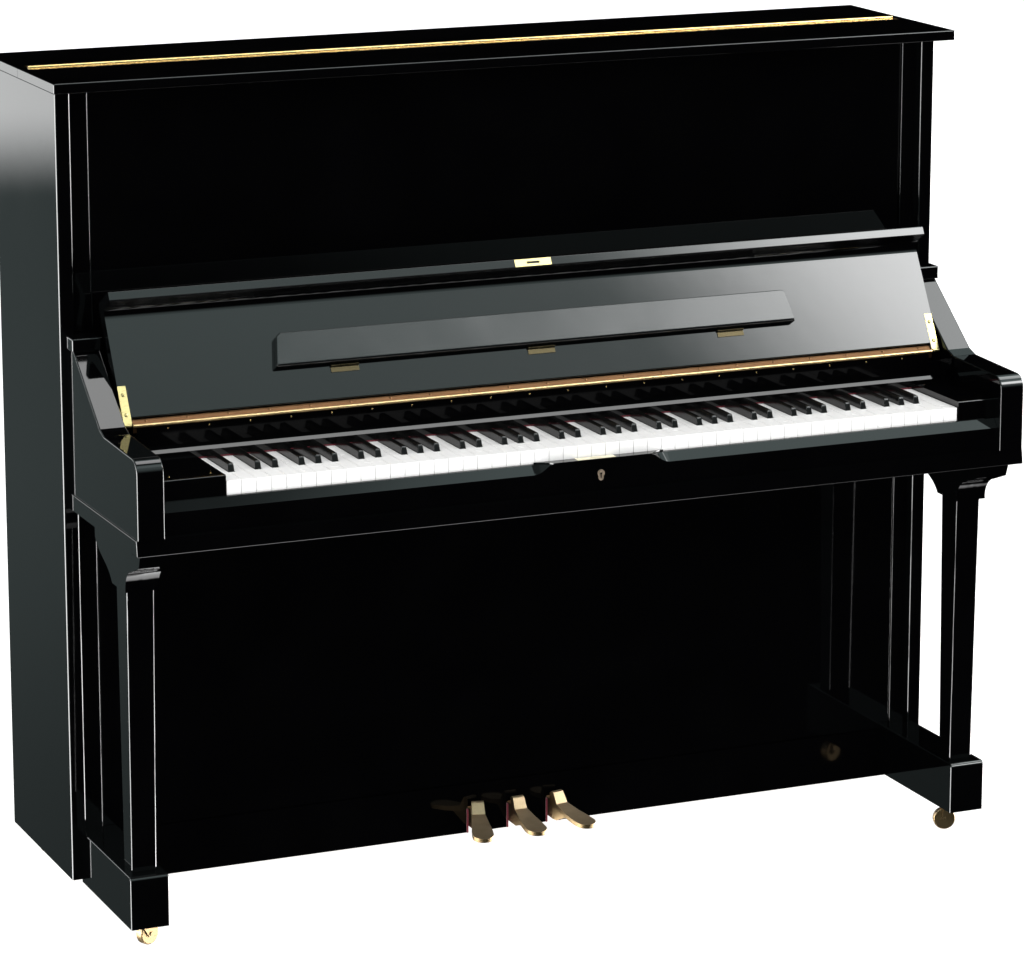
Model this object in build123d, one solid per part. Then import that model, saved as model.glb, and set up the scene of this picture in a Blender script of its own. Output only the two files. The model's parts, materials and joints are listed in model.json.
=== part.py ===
from build123d import *
from math import cos, radians, sin, tan
import os

# Upright piano. X runs to the player's right, +Y to the back, Z up, all in millimetres.
# The origin is on the floor, in the middle of the width and of the depth.

# Overall
FRONT_Y = -325.0
BACK_Y = 325.0

# Case
SIDE_OUTER = 751.0
SIDE_T = 24.0
SIDE_INNER = SIDE_OUTER - SIDE_T
SIDE_FRONT = 5.6
SIDE_BACK = 320.0
SIDE_BOTTOM = 48.0
STILE_INNER = 697.0
STILE_FRONT = 15.5
STILE_BACK = 44.0
PANEL_HALF = 696.6
PANEL_T = 18.0
UPPER_PANEL_Y = 20.0
LOWER_PANEL_Y = 17.0
RAIL_FRONT = 15.6
RAIL_BOTTOM = 33.0
RAIL_TOP = 116.0

# Lid
LID_HALF = 765.0
LID_FRONT = -37.0
LID_TOP = 1307.3
LID_BOTTOM = 1291.3
LID_JOINT = 147.0
LID_HINGE_Z = 1307.5
LID_HINGE_HALF = 748.0
LID_LEAF = 24.0
LID_BARREL = 2.5

# Keyboard shelf
KEYBED_BOTTOM = 647.0
KEYBED_TOP = 672.0
SHELF_OUTER = 741.4
BED_OUTER = 743.2
ARM_INNER = 699.8
SHELF_FRONT = -299.8
SHELF_BACK = 150.0
RUN_OUT_Y = -338.0
KEYHOLE_X = 4.8

# Fallboard: its axis, how far it leans back when open, and its section
FALL_AXIS_Y = -130.0
FALL_AXIS_Z = 798.0
FALL_LEAN = 29.0
FALL_HALF = 696.0
FALL_T = 20.0
FALL_LENGTH = 202.0
LIP_START = 168.0
LIP_T = 14.5
LIP_RISE = 37.0
COVE_R = 17.0
FALL_BARREL = 2.6
LEAF_HALF = 682.0
LEAF_TILT = 17.0
RECESS_END = 12.6
RECESS_ROUND = 2.2
STRAP_W = 13.0
STRAP_LENGTH = 64.0

# Nameboard under the fallboard, with its foot over the keys
NAME_TOP = 794.4
FOOT_FRONT = -148.4
FOOT_BOTTOM = 745.6
FOOT_BEVEL = 756.4
FOOT_TOP = 760.8

# Music desk flap, measured along the fallboard from its axis
DESK_START = 68.5
DESK_END = 122.0
DESK_T = 14.0
DESK_TOP_HALF = 434.0
DESK_BOTTOM_HALF = 443.0
DESK_AXIS_ALONG = 65.8
DESK_AXIS_OUT = 2.6
DESK_HINGES = (-330.0, 0.0, 330.0)

# Keys
WHITE_PITCH = 23.65
KEY_GAP = 0.9
KEYBOARD_MID = 20.5
LEFT_END = KEYBOARD_MID - 26 * WHITE_PITCH
RIGHT_END = KEYBOARD_MID + 26 * WHITE_PITCH
BLOCK_TOP = 752.5
KEY_FRONT = -298.0
KEY_TOP = 743.0
KEY_UNDER = 719.5
KEY_HEAD = 50.0
KEY_SHOWN = 150.0
KEY_BACK = 85.0
BLACK_W = 10.2
BLACK_RISE = 12.0
NOSE_GAP = 1.4
BLACK_BACK = -149.4
COVER_T = 2.0
BALANCE_Y = -80.0
WHITE_NAMES = ("c", "d", "e", "f", "g", "a", "b")
# Each black key's place past the left edge of its octave, in white key widths
BLACK_PLACES = {"c_sharp": 0.92, "d_sharp": 2.08, "f_sharp": 3.87, "g_sharp": 5.0, "a_sharp": 6.13}

# Legs, toes and casters
LEG_MID = 705.0
TOE_HALF_W = 30.5
TOE_FRONT = -238.0
TOE_BOTTOM = 44.0
TOE_TOP = 127.0
CASTER_TRAIL = 13.0
WHEEL_R = 18.0
WHEEL_W = 13.0
AXLE_R = 3.0
STEM_R = 4.0
# Name: swivel X, swivel Y, heading of the trailing wheel in degrees about Z
CASTERS = {
    "front_left": (-705.0, -190.0, 205.0),
    "front_right": (705.0, -190.0, -20.0),
    "rear_left": (-690.0, 288.0, 20.0),
    "rear_right": (690.0, 288.0, -70.0),
}

# Pedals
PEDALS = {"left": (-67.4, -16.0), "middle": (3.3, 0.0), "right": (73.2, 13.0)}
PEDAL_AXIS_Y = 130.0
PEDAL_AXIS_Z = 66.0
LEVER_HALF = 6.5
NECK_HALF = 9.8
TREAD_HALF = 17.0
NOTCH_HALF = 13.0
NOTCH_TOP = 78.0
FELT_T = 3.0


def block(x0, x1, y0, y1, z0, z1):
    """Axis-aligned block between two corners."""
    middle = Pos((x0 + x1) / 2, (y0 + y1) / 2, (z0 + z1) / 2)
    return middle * Box(x1 - x0, y1 - y0, z1 - z0)


def prism_x(outline, x0, x1):
    """Solid with a face of (Y, Z) lines, running along X."""
    return extrude(Pos(x0, 0, 0) * (Plane.YZ * outline), amount=x1 - x0, dir=(1, 0, 0))


def polygon(*points):
    """Flat face with straight sides."""
    return make_face(Polyline(*points, close=True))


def pin_x(x0, x1, y, z, radius):
    """Round pin along X."""
    return Pos((x0 + x1) / 2, y, z) * Rot(0, 90, 0) * Cylinder(radius, x1 - x0)


def edges_along(solid, axis, key=None):
    """Edges parallel to an axis, kept when key(centre) is true."""
    found = solid.edges().filter_by(axis)
    return [edge for edge in found if key is None or key(edge.center())]


def save(node, *solids):
    """Write one node's solids to its own file."""
    shape = solids[0] if len(solids) == 1 else Compound(children=list(solids))
    export_step(shape, f"parts/{node}.step")


def mirrored(solid):
    return mirror(solid, about=Plane.YZ)


def turned(solid, y, z, degrees):
    """Solid turned about an X axis at the origin, then carried to (y, z)."""
    return Pos(0, y, z) * Rot(degrees, 0, 0) * solid


def barrels(x0, x1, count, odd, radius, bore):
    """Every other knuckle of a hinge along X, on the line Y = Z = 0."""
    pitch = (x1 - x0) / count
    knuckles = []
    for index in range(odd, count, 2):
        start = x0 + index * pitch
        knuckle = pin_x(start + 0.2, start + pitch - 0.2, 0, 0, radius)
        if bore:
            knuckle = knuckle - pin_x(start, start + pitch, 0, 0, bore)
        knuckles.append((start, pitch, knuckle))
    return knuckles


def hinge_half(x0, x1, count, odd, radius, leaf, bore=0.0, pin=0.0):
    """One hinge half as one solid. leaf = (y0, y1, z0, z1) beside the barrel."""
    y0, y1, z0, z1 = leaf
    half = block(x0, x1, y0, y1, z0, z1)
    inner = y0 if y0 > 0 else y1
    reach = radius * 0.55 if inner > 0 else -radius * 0.55
    for start, pitch, knuckle in barrels(x0, x1, count, odd, radius, bore):
        low, high = sorted((inner, reach))
        tab = block(start + 0.2, start + pitch - 0.2, low, high, z0, z1)
        half = half + knuckle + tab
    if pin:
        half = half + pin_x(x0, x1, 0, 0, pin)
    return half


# ---------------------------------------------------------------- case

def side_board():
    board = block(SIDE_INNER, SIDE_OUTER, SIDE_FRONT, SIDE_BACK, SIDE_BOTTOM, LID_BOTTOM - 0.4)
    front = edges_along(board, Axis.Z, lambda c: c.Y < SIDE_FRONT + 1)
    return fillet(front, 3.0)


def stile():
    """Narrow upright between a side board and the panels, cut where the keybed passes."""
    parts = []
    for z0, z1 in ((SIDE_BOTTOM, KEYBED_BOTTOM - 0.2), (KEYBED_TOP + 0.2, LID_BOTTOM - 0.4)):
        upright = block(STILE_INNER, SIDE_INNER - 0.1, STILE_FRONT, STILE_BACK, z0, z1)
        edge = edges_along(upright, Axis.Z, lambda c: c.Y < STILE_FRONT + 1 and c.X < STILE_INNER + 1)
        parts.append(fillet(edge, 1.2))
    return parts


def panel(y, z0, z1):
    board = block(-PANEL_HALF, PANEL_HALF, y, y + PANEL_T, z0, z1)
    return fillet(edges_along(board, Axis.Z, lambda c: c.Y < y + 1), 2.5)


def bottom_rail():
    """Rail under the lower panel, with a notch open downwards for each pedal."""
    rail = block(-PANEL_HALF, PANEL_HALF, RAIL_FRONT, RAIL_FRONT + 20, RAIL_BOTTOM, RAIL_TOP)
    rail = fillet(edges_along(rail, Axis.X, lambda c: c.Y < 20 and c.Z < 40), 1.5)
    for x, _ in PEDALS.values():
        notch = block(x - NOTCH_HALF, x + NOTCH_HALF, 0, 50, RAIL_BOTTOM - 5, NOTCH_TOP)
        notch = fillet(edges_along(notch, Axis.Y, lambda c: c.Z > NOTCH_TOP - 1), 4.0)
        rail = rail - notch
    return rail


def bottom_board():
    """Floor of the case, notched round the stiles."""
    board = block(-726.8, 726.8, STILE_BACK + 0.2, 249.6, 92, 112)
    return board + block(-PANEL_HALF, PANEL_HALF, 36.0, STILE_BACK + 0.2, 92, 112)


def lid(y0, y1, open_edge):
    """Lid board; its outer corners and edges are softened, its joint edge stays sharp."""
    board = block(-LID_HALF, LID_HALF, y0, y1, LID_BOTTOM, LID_TOP)
    board = fillet(edges_along(board, Axis.Z, lambda c: abs(c.Y - open_edge) < 1), 2.5)
    rims = board.faces().sort_by(Axis.Z)
    top = [e for e in rims[-1].edges() if abs(e.center().Y - LID_JOINT) > 2]
    low = [e for e in rims[0].edges() if abs(e.center().Y - LID_JOINT) > 2]
    board = fillet(top + low, 1.8)
    side = 1 if y0 > LID_JOINT - 1 else -1
    near, far = sorted((LID_JOINT, LID_JOINT + side * (LID_LEAF + 0.3)))
    board = board - block(-LID_HINGE_HALF - 0.2, LID_HINGE_HALF + 0.2, near, far, LID_TOP - 1.2, LID_TOP + 1)
    near, far = sorted((LID_JOINT - side, LID_JOINT + side * (LID_BARREL + 0.5)))
    return board - block(-LID_HINGE_HALF - 0.2, LID_HINGE_HALF + 0.2, near, far, LID_TOP - 3.2, LID_TOP + 1)


def lid_hinge(side):
    """side -1: the moving leaf with bored knuckles; +1: the fixed leaf with the pin."""
    low, high = sorted((side * (LID_BARREL + 0.5), side * LID_LEAF))
    leaf = (low, high, LID_TOP - LID_HINGE_Z - 1.2, LID_TOP - LID_HINGE_Z)
    bore = 1.2 if side < 0 else 0.0
    pin = 1.14 if side > 0 else 0.0
    half = hinge_half(-LID_HINGE_HALF, LID_HINGE_HALF, 31, 0 if side > 0 else 1, LID_BARREL, leaf, bore, pin)
    return Pos(0, LID_JOINT, LID_HINGE_Z) * half


# ---------------------------------------------------------------- keyboard shelf

def arm():
    """Cheek beside the keys: flat at the front, rising in a straight slope to the case."""
    low = KEYBED_TOP + 0.2
    rear = SIDE_FRONT - 0.2
    top = Polyline((FRONT_Y, low), (rear, low), (rear, 897), (-30, 897), (-150, 803), (-170, 796),
                   (-301, 792))
    brow = ThreePointArc((-301, 792), (-318.5, 785), (FRONT_Y, 768))
    front = Line((FRONT_Y, 768), (FRONT_Y, low))
    cheek = prism_x(make_face([top, brow, front]), ARM_INNER, SHELF_OUTER)
    bend = edges_along(cheek, Axis.X, lambda c: -175 < c.Y < -145)
    cheek = fillet(bend, 3.0)
    shown = [e for e in cheek.edges() if e.center().Y < -1 and e.center().Z > KEYBED_TOP + 1
             and abs(e.bounding_box().size.X) < 0.1 and e.center().Z < 896]
    return fillet(shown, 2.0)


def arm_cap():
    cap = block(698.2, 744.6, -36, SIDE_FRONT - 0.2, 897.2, 918)
    return fillet(cap.edges().filter_by(lambda e: e.center().Y < 5), 2.5)


def keybed():
    """Shelf board, narrower where it passes between the side boards."""
    board = block(-BED_OUTER, BED_OUTER, SHELF_FRONT, SIDE_FRONT - 0.2, KEYBED_BOTTOM, KEYBED_TOP)
    board = fillet(edges_along(board, Axis.Y, lambda c: c.Z > KEYBED_TOP - 1), 1.4)
    inside = SIDE_INNER - 0.2
    return board + block(-inside, inside, SIDE_FRONT - 0.2, SHELF_BACK, KEYBED_BOTTOM, KEYBED_TOP)


def keybed_moulding():
    """Front band under the arms and the slip, its face falling slightly forward."""
    outline = polygon(
        (SHELF_FRONT - 0.2, KEYBED_BOTTOM), (FRONT_Y, KEYBED_BOTTOM), (FRONT_Y, 651),
        (-321.5, KEYBED_TOP), (SHELF_FRONT - 0.2, KEYBED_TOP))
    band = prism_x(outline, -BED_OUTER, BED_OUTER)
    ends = [e for e in band.edges() if abs(e.bounding_box().size.X) < 0.1 and e.center().Y < -310
            and e.center().Z > KEYBED_BOTTOM + 1]
    band = fillet(ends, 1.4)
    low = edges_along(band, Axis.X, lambda c: c.Y < -320 and c.Z < 660)
    return band.fillet(1.9, low)


def slip_bevel(side, inner_end):
    """Wedge taken off the slip's top front edge, running out in a curve at its inner end."""
    outline = polygon((-300, 722), (-304, 721.4), (-315.4, 708.8), (-330, 692.6), (-330, 730), (-300, 730))
    x0, x1 = sorted((inner_end, side * 720))
    straight = prism_x(outline, x0, x1)
    turn = revolve(Plane.YZ * outline, Axis((0, RUN_OUT_Y, 0), (0, 0, 1)), 360)
    return straight + Pos(inner_end, 0, 0) * turn


def keyhole():
    """Round hole with a slot under it, cut into the slip's face."""
    eye = Pos(KEYHOLE_X, -316, 700.5) * Rot(90, 0, 0) * Cylinder(1.9, 12)
    return eye + block(KEYHOLE_X - 0.9, KEYHOLE_X + 0.9, -322, -310, 694, 700.5)


def key_slip():
    """Bar in front of the keys, bevelled on top except round the lock."""
    bar = block(-ARM_INNER + 0.3, ARM_INNER - 0.3, -316, -300.3, KEYBED_TOP + 0.2, 724)
    bar = bar - slip_bevel(-1, -106) - slip_bevel(1, 122)
    bar = bar - block(-33.2, 31.2, -314.7, -300, 722.8, 730)
    return bar - keyhole()


def slip_lock():
    """Lock plate in the top of the slip, and the keyhole escutcheon on its face."""
    plate = block(-33, 31, -314.5, -301, 722.9, 724.4)
    plate = plate - block(-10, 9, -309.5, -306, 720, 730)
    upper = Pos(KEYHOLE_X, -316.6, 701) * Rot(90, 0, 0) * Cylinder(6.0, 1.0)
    lower = Pos(KEYHOLE_X, -316.6, 694.4) * Rot(90, 0, 0) * Cylinder(4.5, 1.0)
    return plate, upper + lower - keyhole()


def key_block(x0, x1):
    """Solid block beside the end key, stepped up behind to carry the nameboard's end."""
    low = block(x0, x1, -300, -20, KEYBED_TOP + 0.2, BLOCK_TOP)
    low = fillet(edges_along(low, Axis.X, lambda c: c.Y < -299 and c.Z > 750), 1.6)
    outer0, outer1 = (x0, -677.2) if x0 < 0 else (677.2, x1)
    return low + block(outer0, outer1, -126, -20, BLOCK_TOP, 782)


# ---------------------------------------------------------------- fallboard

def on_fallboard(solid):
    """Place a solid drawn with Y along the fallboard and Z out of its face."""
    return turned(solid, FALL_AXIS_Y, FALL_AXIS_Z, 90 - FALL_LEAN)


def leaf_recess():
    """Sloping recess for the hinge leaf; the board's edge above it is rounded."""
    start = -1.7
    floor = start - RECESS_END * tan(radians(LEAF_TILT))
    top = RECESS_END + RECESS_ROUND
    slope = Polyline((top, 5), (0, 5), (0, start), (RECESS_END, floor), (RECESS_END, -RECESS_ROUND))
    bend = RECESS_ROUND * (1 - cos(radians(45)))
    brow = ThreePointArc((RECESS_END, -RECESS_ROUND), (RECESS_END + bend, -bend), (top, 0))
    rise = Line((top, 0), (top, 5))
    return prism_x(make_face([slope, brow, rise]), -LEAF_HALF - 0.3, LEAF_HALF + 0.3)


def fallboard():
    board = block(-FALL_HALF, FALL_HALF, 3.4, LIP_START, -FALL_T, 0)
    board = board - leaf_recess()
    for x0, x1 in ((-FALL_HALF - 1, -FALL_HALF + STRAP_W + 0.2), (FALL_HALF - STRAP_W - 0.2, FALL_HALF + 1)):
        board = board - block(x0, x1, 0, STRAP_LENGTH + 0.2, -1.2, 5)
    back = edges_along(board, Axis.X, lambda c: c.Z < -FALL_T + 1 and c.Y < 10)
    return on_fallboard(fillet(back, 3.0))


def fallboard_lip():
    """Lip across the board's free edge, with a cove on the inside."""
    inner = FALL_LENGTH - LIP_T
    bend = COVE_R * (1 - cos(radians(45)))
    start = Line((LIP_START + 0.05, 0), (inner - COVE_R, 0))
    cove = ThreePointArc((inner - COVE_R, 0), (inner - bend, bend), (inner, COVE_R))
    rest = Polyline((inner, COVE_R), (inner, LIP_RISE), (FALL_LENGTH, LIP_RISE),
                    (FALL_LENGTH, -FALL_T), (LIP_START + 0.05, -FALL_T), (LIP_START + 0.05, 0))
    lip = prism_x(make_face([start, cove, rest]), -FALL_HALF, FALL_HALF)
    crown = edges_along(lip, Axis.X, lambda c: c.Y > FALL_LENGTH - 1 and c.Z < -FALL_T + 1)
    lip = fillet(crown, 8.0)
    nose = edges_along(lip, Axis.X, lambda c: c.Z > LIP_RISE - 1)
    lip = fillet(nose, 1.4)
    seat = block(-31.2, 31.2, inner + 1.2, FALL_LENGTH - 1.2, LIP_RISE - 1.2, LIP_RISE + 2)
    return on_fallboard(lip - seat)


def fallboard_hinge_moving():
    leaf = (FALL_BARREL + 0.6, 12.0, -1.5, -0.2)
    half = hinge_half(-LEAF_HALF, LEAF_HALF, 29, 1, FALL_BARREL, leaf, bore=1.2)
    return on_fallboard(turned(half, 0, 0, -LEAF_TILT))


def fallboard_hinge_fixed():
    """Fixed leaf let into a slot in the nameboard's top, with the hinge pin."""
    leaf = (-11.0, -FALL_BARREL - 0.6, -2.2, -1.0)
    half = hinge_half(-LEAF_HALF, LEAF_HALF, 29, 0, FALL_BARREL, leaf, pin=1.14)
    return turned(half, FALL_AXIS_Y, FALL_AXIS_Z, 90)


def fallboard_fittings():
    """End straps, strike plate with its slot, and the fixed halves of the desk hinges."""
    pieces = []
    for x0 in (-FALL_HALF, FALL_HALF - STRAP_W):
        strap = block(x0, x0 + STRAP_W, 3.6, STRAP_LENGTH, -1.2, 0.4)
        curl = pin_x(x0 + 1, x0 + STRAP_W - 1, 1.2, 0, 2.4)
        tail = block(x0 + 1, x0 + STRAP_W - 1, 1.2, 4, -1.2, 0.4)
        pieces.append(on_fallboard(strap + curl + tail))
    inner = FALL_LENGTH - LIP_T
    strike = block(-31, 31, inner + 1.3, FALL_LENGTH - 1.3, LIP_RISE - 1.1, LIP_RISE + 0.2)
    strike = strike - block(-11, 11, inner + 5.4, inner + 9.0, LIP_RISE - 3, LIP_RISE + 3)
    pieces.append(on_fallboard(strike))
    for x in DESK_HINGES:
        leaf = (-10.0, -2.3, -DESK_AXIS_OUT + 0.05, -DESK_AXIS_OUT + 1.2)
        half = hinge_half(x - 23, x + 23, 3, 0, 2.0, leaf, pin=0.84)
        pieces.append(on_fallboard(Pos(0, DESK_AXIS_ALONG, DESK_AXIS_OUT) * half))
    return pieces


def music_desk():
    """Flap folded against the fallboard, wider at its hinged edge."""
    outline = polygon(
        (-DESK_BOTTOM_HALF, DESK_START), (DESK_BOTTOM_HALF, DESK_START),
        (DESK_TOP_HALF, DESK_END), (-DESK_TOP_HALF, DESK_END))
    flap = Pos(0, 0, 0.5) * extrude(outline, amount=DESK_T - 0.5)
    corners = [e for e in flap.edges().filter_by(Axis.Z) if e.center().Y > DESK_END - 1]
    flap = fillet(corners, 9.0)
    lower = [e for e in flap.edges() if abs(e.center().Y - DESK_START) < 0.5 and e.center().Z > DESK_T - 0.5]
    flap = fillet(lower, 4.5)
    upper = [e for e in flap.faces().sort_by(Axis.Z)[-1].edges() if e.center().Y > DESK_START + 8]
    flap = fillet(upper, 1.6)
    for x in DESK_HINGES:
        flap = flap - block(x - 23.3, x + 23.3, DESK_START - 2, DESK_START + 9, 0, 1.9)
    return on_fallboard(flap)


def desk_hinge_moving():
    pieces = []
    for x in DESK_HINGES:
        leaf = (2.3, 11.0, -DESK_AXIS_OUT + 0.6, -DESK_AXIS_OUT + 1.8)
        half = hinge_half(x - 23, x + 23, 3, 1, 2.0, leaf, bore=0.9)
        pieces.append(on_fallboard(Pos(0, DESK_AXIS_ALONG, DESK_AXIS_OUT) * half))
    return pieces


def nameboard():
    """Face under the fallboard hinge, standing on a deeper foot with a bevelled top edge."""
    face = block(-676, 676, FALL_AXIS_Y, -120, FOOT_BOTTOM, NAME_TOP)
    shelf = block(-676, 676, -120, SIDE_FRONT - 0.2, 768, 780)
    foot = prism_x(polygon((-120, FOOT_BOTTOM), (FOOT_FRONT, FOOT_BOTTOM), (FOOT_FRONT, FOOT_BEVEL),
                           (-142.4, FOOT_TOP), (-120, FOOT_TOP)), -676, 676)
    slot = block(-677, 677, FALL_AXIS_Y + 0.9, FALL_AXIS_Y + 2.3, NAME_TOP - 7.6, NAME_TOP + 1)
    over_blocks = [block(x0, x1, FOOT_FRONT - 1, -110, FOOT_BOTTOM - 1, BLOCK_TOP + 0.2)
                   for x0, x1 in ((-677, LEFT_END - 0.8), (RIGHT_END + 0.8, 677))]
    return face + shelf + foot - slot - over_blocks[0] - over_blocks[1]


def nameboard_felt():
    """Strip under the nameboard's foot, just clear of the keys."""
    return block(LEFT_END, RIGHT_END, FOOT_FRONT + 0.1, -138, KEY_TOP + 0.9, FOOT_BOTTOM - 0.1)


# ---------------------------------------------------------------- keys

def key_plan(x0, x1, tail0, tail1, y0, head, y1):
    """Plan of a white key: a wide head and a narrower tail between the black keys."""
    corners = [(x0, y0), (x1, y0), (x1, head), (tail1, head),
               (tail1, y1), (tail0, y1), (tail0, head), (x0, head)]
    kept = [c for i, c in enumerate(corners) if c != corners[i - 1]]
    return polygon(*kept)


def white_key(x0, x1, tail0, tail1):
    head = KEY_FRONT + KEY_HEAD
    lever = extrude(key_plan(x0, x1, tail0, tail1, KEY_FRONT + COVER_T, head, KEY_BACK), amount=21.4)
    lever = Pos(0, 0, KEY_UNDER) * lever
    top = extrude(key_plan(x0, x1, tail0, tail1, KEY_FRONT, head, KEY_FRONT + KEY_SHOWN), amount=COVER_T)
    top = Pos(0, 0, KEY_TOP - COVER_T) * top
    cover = top + block(x0, x1, KEY_FRONT, KEY_FRONT + COVER_T - 0.05, KEY_UNDER + 2, KEY_TOP - COVER_T)
    edge = edges_along(cover, Axis.X, lambda c: c.Y < KEY_FRONT + 0.1 and c.Z > KEY_TOP - 1)
    return lever, fillet(edge, 0.8)


def black_key(x):
    head = KEY_FRONT + KEY_HEAD
    half = BLACK_W / 2
    lever = block(x - half, x + half, head + 2, KEY_BACK, KEY_UNDER, KEY_TOP - COVER_T - 0.1)
    base = Pos(x, (head + NOSE_GAP + BLACK_BACK) / 2, KEY_TOP - COVER_T)
    crest = Pos(x, (head + 5.6 + BLACK_BACK) / 2, KEY_TOP + BLACK_RISE)
    cap = loft([base * Rectangle(BLACK_W, BLACK_BACK - head - NOSE_GAP),
                crest * Rectangle(BLACK_W - 1.8, BLACK_BACK - head - 5.6)])
    top = cap.faces().sort_by(Axis.Z)[-1]
    nose = [e for e in top.edges() if e.center().Y < head + 7]
    cap = fillet(nose, 3.4)
    sides = [e for e in cap.faces().sort_by(Axis.Z)[-1].edges() if abs(e.center().X - x) > 2]
    return lever, cap.fillet(1.3, sides)


def keyboard():
    """All keys, gathered by note name: note -> list of solids."""
    first_c = LEFT_END + 2 * WHITE_PITCH
    blacks = []
    for octave in range(-1, 7):
        for name, place in BLACK_PLACES.items():
            if octave >= 0 or name == "a_sharp":
                blacks.append((name, first_c + (octave * 7 + place) * WHITE_PITCH))
    notes = {}
    for index in range(52):
        name = WHITE_NAMES[(index + 5) % 7]
        x0 = LEFT_END + index * WHITE_PITCH + KEY_GAP / 2
        x1 = x0 + WHITE_PITCH - KEY_GAP
        tail0 = max([x0] + [b + BLACK_W / 2 + KEY_GAP for _, b in blacks if abs(b - x0) < 8])
        tail1 = min([x1] + [b - BLACK_W / 2 - KEY_GAP for _, b in blacks if abs(b - x1) < 8])
        notes.setdefault(name, []).extend(white_key(x0, x1, tail0, tail1))
    for name, x in blacks:
        notes.setdefault(name, []).extend(black_key(x))
    return notes


def key_frame():
    """Front, balance and back rails under the keys."""
    front = block(-592, 634, -285, -235, KEYBED_TOP + 0.2, 704)
    balance = block(-592, 634, -100, -60, KEYBED_TOP + 0.2, 712) + block(-592, 634, -86, -74, 712, 719)
    back = block(-592, 634, 40, 84, KEYBED_TOP + 0.2, 719.2)
    return front, balance, back


# ---------------------------------------------------------------- legs and floor

def toe_block():
    """Foot running forward from the case, its top front edge rounded over."""
    x0, x1 = LEG_MID - TOE_HALF_W, LEG_MID + TOE_HALF_W
    foot = block(x0, x1, TOE_FRONT, SIDE_FRONT - 0.2, TOE_BOTTOM, TOE_TOP)
    foot = foot + block(x0, STILE_INNER - 0.2, SIDE_FRONT - 0.3, RAIL_FRONT - 0.1, TOE_BOTTOM, TOE_TOP)
    foot = foot + block(STILE_INNER - 0.2, SIDE_INNER - 0.2, SIDE_FRONT - 0.3, STILE_FRONT - 0.1, 48, TOE_TOP)
    brow = edges_along(foot, Axis.X, lambda c: c.Y < TOE_FRONT + 1 and c.Z > TOE_TOP - 1)
    foot = fillet(brow, 7.0)
    sides = [e for e in foot.edges() if e.center().Y < -20 and e.center().Z > TOE_BOTTOM + 1
             and e.bounding_box().size.X < 0.1]
    foot = fillet(sides, 2.0)
    swivel = CASTERS["front_right"]
    return foot - Pos(LEG_MID, swivel[1], TOE_BOTTOM) * Cylinder(6.0, 44)


def leg():
    """Tapered leg under a wide curved bracket with a small step round the leg's head."""
    head = Pos(LEG_MID, -195, 569) * Rectangle(42.6, 50)
    ankle = Pos(LEG_MID + 0.5, -194.5, TOE_TOP + 0.2) * Rectangle(39, 37)
    shaft = loft([ankle, head])
    shaft = fillet(shaft.edges().filter_by(lambda e: e.bounding_box().size.Z > 300), 2.0)
    top = KEYBED_BOTTOM - 0.2
    front = Polyline((-84, top), (-301, top), (-299, 639), (-293, 622), (-256, 608))
    cove = Spline((-256, 608), (-240, 600), (-230, 586), (-228, 568.9))
    under = Line((-228, 568.9), (-164, 568.9))
    rear = Spline((-164, 568.9), (-142, 588), (-105, 605), (-84, 622))
    close = Line((-84, 622), (-84, top))
    bracket = prism_x(make_face([front, cove, under, rear, close]), LEG_MID - 26, LEG_MID + 26)
    return shaft + bracket


def caster_plate(x, y):
    """Round plate under the wood, with the stem's bore; the rear ones sit on the same level."""
    plate = Pos(x, y, TOE_BOTTOM - 1.25) * Cylinder(19, 2.3)
    return plate - Pos(x, y, TOE_BOTTOM - 1.25) * Cylinder(STEM_R + 0.06, 5)


def caster_fork(x, y, heading):
    """Swivelling fork: stem, crown and two cheeks narrowing to the axle."""
    stem = Pos(0, 0, 48) * Cylinder(STEM_R, 20)
    crown = Pos(0, 0, 39.9) * Cylinder(13, 2.8)
    reach = block(-CASTER_TRAIL - 4, 0, -WHEEL_W / 2 - 3.2, WHEEL_W / 2 + 3.2, 38.5, 41.3)
    fork = stem + crown + reach
    ear = Pos(-CASTER_TRAIL, 0) * Circle(6)
    ear = ear + polygon((-CASTER_TRAIL - 5, 3), (-CASTER_TRAIL + 5, -3), (9, 22), (-14, 22))
    for side in (-1, 1):
        y0 = side * (WHEEL_W / 2 + 0.8) if side > 0 else -WHEEL_W / 2 - 2.8
        cheek = extrude(Pos(0, y0, WHEEL_R) * (Plane.XZ * ear), amount=2.0, dir=(0, 1, 0))
        fork = fork + cheek
    axle = Pos(-CASTER_TRAIL, 0, WHEEL_R) * Rot(90, 0, 0) * Cylinder(AXLE_R, WHEEL_W + 9)
    return Pos(x, y, 0) * Rot(0, 0, heading) * (fork + axle)


def caster_wheel(x, y, heading):
    wheel = Rot(90, 0, 0) * Cylinder(WHEEL_R, WHEEL_W)
    wheel = fillet(wheel.edges(), 2.0) - Rot(90, 0, 0) * Cylinder(AXLE_R + 0.05, WHEEL_W + 2)
    return Pos(x, y, 0) * Rot(0, 0, heading) * Pos(-CASTER_TRAIL, 0, WHEEL_R) * wheel


# ---------------------------------------------------------------- pedals

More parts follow.
